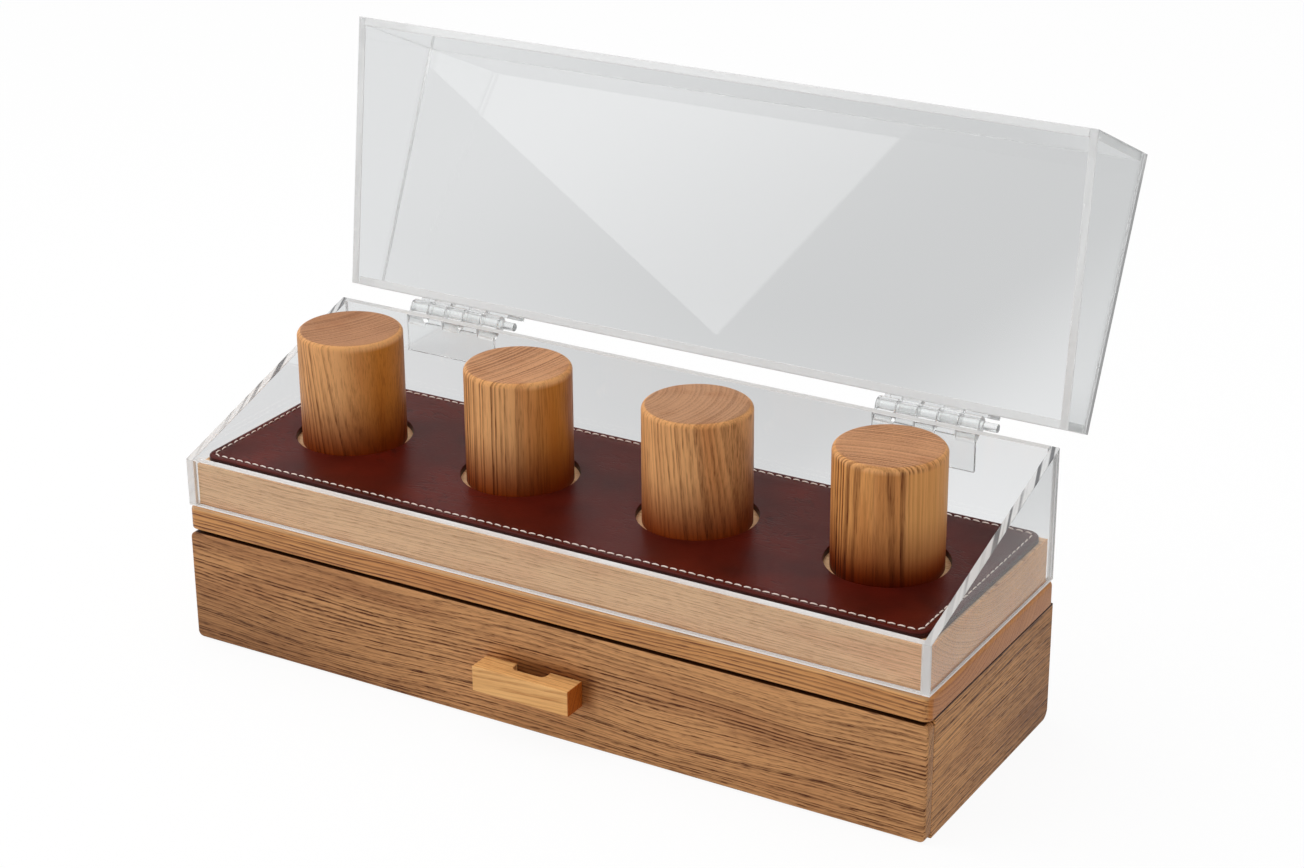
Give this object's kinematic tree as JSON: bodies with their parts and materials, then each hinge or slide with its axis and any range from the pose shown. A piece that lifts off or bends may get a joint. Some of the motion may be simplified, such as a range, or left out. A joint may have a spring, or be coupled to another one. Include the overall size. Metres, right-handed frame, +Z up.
{
  "type": "watch display stand",
  "caption": "Wooden watch display stand: a case with a drawer, a leather-topped plinth with four round posts, and a clear acrylic cover with a hinged lid.",
  "frame": {"origin": "middle of the case's underside, on the surface that it stands on", "axes": "+X to the right along the case's length, -Y to the front, where the drawer opens, +Z up"},
  "size_m": [0.3866, 0.2252, 0.2709],
  "materials": {
    "brown_oak": "satin",
    "warm_oak": "satin",
    "pale_oak": "matte",
    "honey_oak": "satin",
    "light_oak": "satin",
    "birch": "matte",
    "dark_leather": "satin",
    "lining_cloth": "matte",
    "clear_acrylic": "gloss",
    "screw_steel": "satin"
  },
  "bodies": {
    "case": {"case_side_left": "brown_oak", "case_side_right": "brown_oak", "case_back": "brown_oak", "case_bottom": "birch", "top_board": "warm_oak", "plinth": "pale_oak", "plinth_screws": "screw_steel", "leather_pad": "dark_leather", "watch_post_1": "honey_oak", "watch_post_2": "honey_oak", "watch_post_3": "honey_oak", "watch_post_4": "honey_oak", "post_screws": "screw_steel", "acrylic_front_wall": "clear_acrylic", "acrylic_back_wall": "clear_acrylic", "acrylic_side_left": "clear_acrylic", "acrylic_side_right": "clear_acrylic", "hinge_leaf_lower_left": "clear_acrylic", "hinge_leaf_lower_right": "clear_acrylic", "hinge_pin_left": "clear_acrylic", "hinge_pin_right": "clear_acrylic"},
    "drawer": {"drawer_front": "brown_oak", "drawer_box_front": "birch", "drawer_side_left": "birch", "drawer_side_right": "birch", "drawer_back": "birch", "drawer_bottom": "birch", "drawer_lining": "lining_cloth", "drawer_pull": "light_oak", "pull_screws": "screw_steel"},
    "lid": {"lid_top": "clear_acrylic", "lid_front": "clear_acrylic", "lid_back_strip": "clear_acrylic", "lid_side_left": "clear_acrylic", "lid_side_right": "clear_acrylic", "hinge_leaf_upper_left": "clear_acrylic", "hinge_leaf_upper_right": "clear_acrylic"}
  },
  "joints": [
    {"name": "lid_hinge", "type": "hinge", "parent": "case", "child": "lid", "pos_m": [0, 0.0689, 0.1335], "axis": [1, 0, 0], "range_deg": [0, 114.6]},
    {"name": "drawer_slide", "type": "slide", "parent": "case", "child": "drawer", "axis": [0, -1, 0], "range_m": [0, 0.085]}
  ]
}
